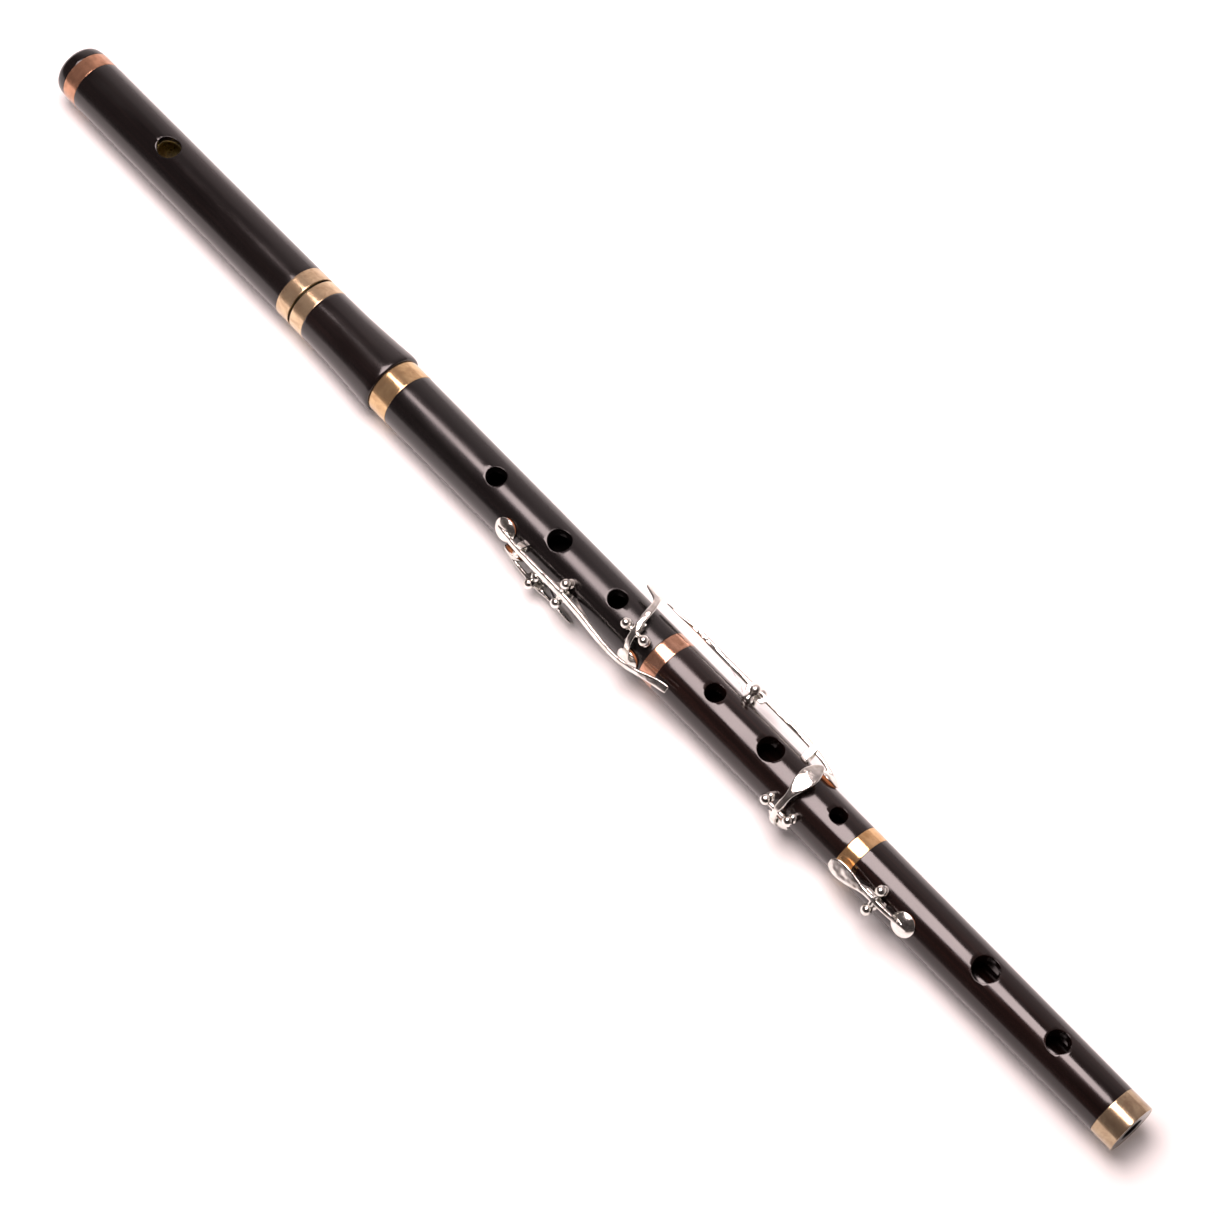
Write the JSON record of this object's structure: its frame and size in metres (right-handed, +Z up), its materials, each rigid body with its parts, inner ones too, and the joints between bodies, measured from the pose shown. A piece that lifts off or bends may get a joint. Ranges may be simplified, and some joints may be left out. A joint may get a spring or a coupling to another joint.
{
  "type": "keyed wooden flute",
  "caption": "Simple-system conical-bore wooden concert flute with metal tuning slide, ring-bound sections, open finger holes and sprung post-mounted silver keys.",
  "frame": {"origin": "under the middle of the flute, on the surface that it lies on", "axes": "+X along the flute towards the foot, +Z up through the left-hand finger holes, -Y the side of the player and most keys"},
  "size_m": [0.6745, 0.0416, 0.0353],
  "materials": {
    "blackwood": "oiled satin, near black with red-brown grain",
    "ring_bronze": "aged, unpolished",
    "nickel_silver": "polished",
    "slide_brass": "drawn tube, dull",
    "spring_steel": "blued, fine brushed",
    "pad_leather": "kid leather",
    "cork": "cork"
  },
  "bodies": {
    "left_hand": {"left_hand_joint": "blackwood", "left_hand_ring": "ring_bronze", "upper_tenon_cork": "cork", "middle_tenon_cork": "cork", "c_key_posts": "nickel_silver", "c_key_pivot": "spring_steel", "c_key_guide": "nickel_silver", "bb_key_posts": "nickel_silver", "bb_key_pivot": "spring_steel", "g_sharp_key_posts": "nickel_silver", "g_sharp_key_pivot": "spring_steel"},
    "barrel": {"barrel": "blackwood", "barrel_liner": "slide_brass", "barrel_ring": "ring_bronze"},
    "head": {"head_joint": "blackwood", "head_liner": "slide_brass", "crown_ring": "ring_bronze", "head_ring": "ring_bronze", "stopper_cork": "cork", "stopper_plate": "slide_brass"},
    "crown": {"head_crown": "blackwood", "crown_cork": "cork"},
    "right_hand": {"right_hand_joint": "blackwood", "right_hand_ring": "ring_bronze", "lower_tenon_cork": "cork", "long_f_key_posts": "nickel_silver", "long_f_key_pivot": "spring_steel", "long_f_key_guide": "nickel_silver", "short_f_key_posts": "nickel_silver", "short_f_key_pivot": "spring_steel"},
    "foot": {"foot_joint": "blackwood", "foot_ring": "ring_bronze", "foot_end_ring": "ring_bronze", "eb_key_posts": "nickel_silver", "eb_key_pivot": "spring_steel"},
    "c_key": {"c_key_lever": "nickel_silver", "c_key_pad": "pad_leather", "c_key_spring": "spring_steel"},
    "bb_key": {"bb_key_lever": "nickel_silver", "bb_key_pad": "pad_leather", "bb_key_spring": "spring_steel"},
    "g_sharp_key": {"g_sharp_key_lever": "nickel_silver", "g_sharp_key_pad": "pad_leather", "g_sharp_key_spring": "spring_steel"},
    "long_f_key": {"long_f_key_lever": "nickel_silver", "long_f_key_pad": "pad_leather", "long_f_key_spring": "spring_steel"},
    "short_f_key": {"short_f_key_lever": "nickel_silver", "short_f_key_pad": "pad_leather", "short_f_key_spring": "spring_steel"},
    "eb_key": {"eb_key_lever": "nickel_silver", "eb_key_pad": "pad_leather", "eb_key_spring": "spring_steel"}
  },
  "joints": [
    {"name": "barrel_turn", "type": "hinge", "parent": "left_hand", "child": "barrel", "pos_m": [-0.1208, -0.00044, 0.0152], "axis": [1, 0, 0], "range_deg": [-20, 20]},
    {"name": "tuning_slide", "type": "slide", "parent": "barrel", "child": "head", "axis": [-1, 0, 0], "range_m": [-0.0013, 0.015]},
    {"name": "crown_pull", "type": "slide", "parent": "head", "child": "crown", "axis": [-1, 0, 0], "range_m": [0, 0.008]},
    {"name": "right_hand_pull", "type": "slide", "parent": "left_hand", "child": "right_hand", "axis": [1, 0, 0], "range_m": [0, 0.018]},
    {"name": "foot_turn", "type": "hinge", "parent": "right_hand", "child": "foot", "pos_m": [0.1912, -0.00044, 0.0152], "axis": [1, 0, 0], "range_deg": [-20, 20]},
    {"name": "c_key_press", "type": "hinge", "parent": "left_hand", "child": "c_key", "pos_m": [0.0183, -0.01545, 0.0244], "axis": [0, 0.5225, 0.8526], "range_deg": [0, 2.6], "stiffness_Nm_per_rad": 0.02, "springref_deg": -8.59, "deforming": ["c_key_spring"]},
    {"name": "bb_key_press", "type": "hinge", "parent": "left_hand", "child": "bb_key", "pos_m": [0.0006, -0.0152, 0.00598], "axis": [0, -0.5299, 0.848], "range_deg": [0, 7], "stiffness_Nm_per_rad": 0.02, "springref_deg": -8.59, "deforming": ["bb_key_spring"]},
    {"name": "g_sharp_key_press", "type": "hinge", "parent": "left_hand", "child": "g_sharp_key", "pos_m": [0.0547, -0.00657, 0.03159], "axis": [-1, 0, 0], "range_deg": [0, 7.5], "stiffness_Nm_per_rad": 0.02, "springref_deg": -8.59, "deforming": ["g_sharp_key_spring"]},
    {"name": "long_f_key_press", "type": "hinge", "parent": "right_hand", "child": "long_f_key", "pos_m": [0.1056, 0.01647, 0.02136], "axis": [0, -0.342, 0.9397], "range_deg": [0, 2.5], "stiffness_Nm_per_rad": 0.02, "springref_deg": -8.59, "deforming": ["long_f_key_spring"]},
    {"name": "short_f_key_press", "type": "hinge", "parent": "right_hand", "child": "short_f_key", "pos_m": [0.1499, -0.01487, 0.02457], "axis": [-1, 0, 0], "range_deg": [0, 8], "stiffness_Nm_per_rad": 0.02, "springref_deg": -8.59, "deforming": ["short_f_key_spring"]},
    {"name": "eb_key_press", "type": "hinge", "parent": "foot", "child": "eb_key", "pos_m": [0.2044, -0.01297, 0.02609], "axis": [0, -0.6561, -0.7547], "range_deg": [0, 7], "stiffness_Nm_per_rad": 0.02, "springref_deg": -8.59, "deforming": ["eb_key_spring"]}
  ]
}
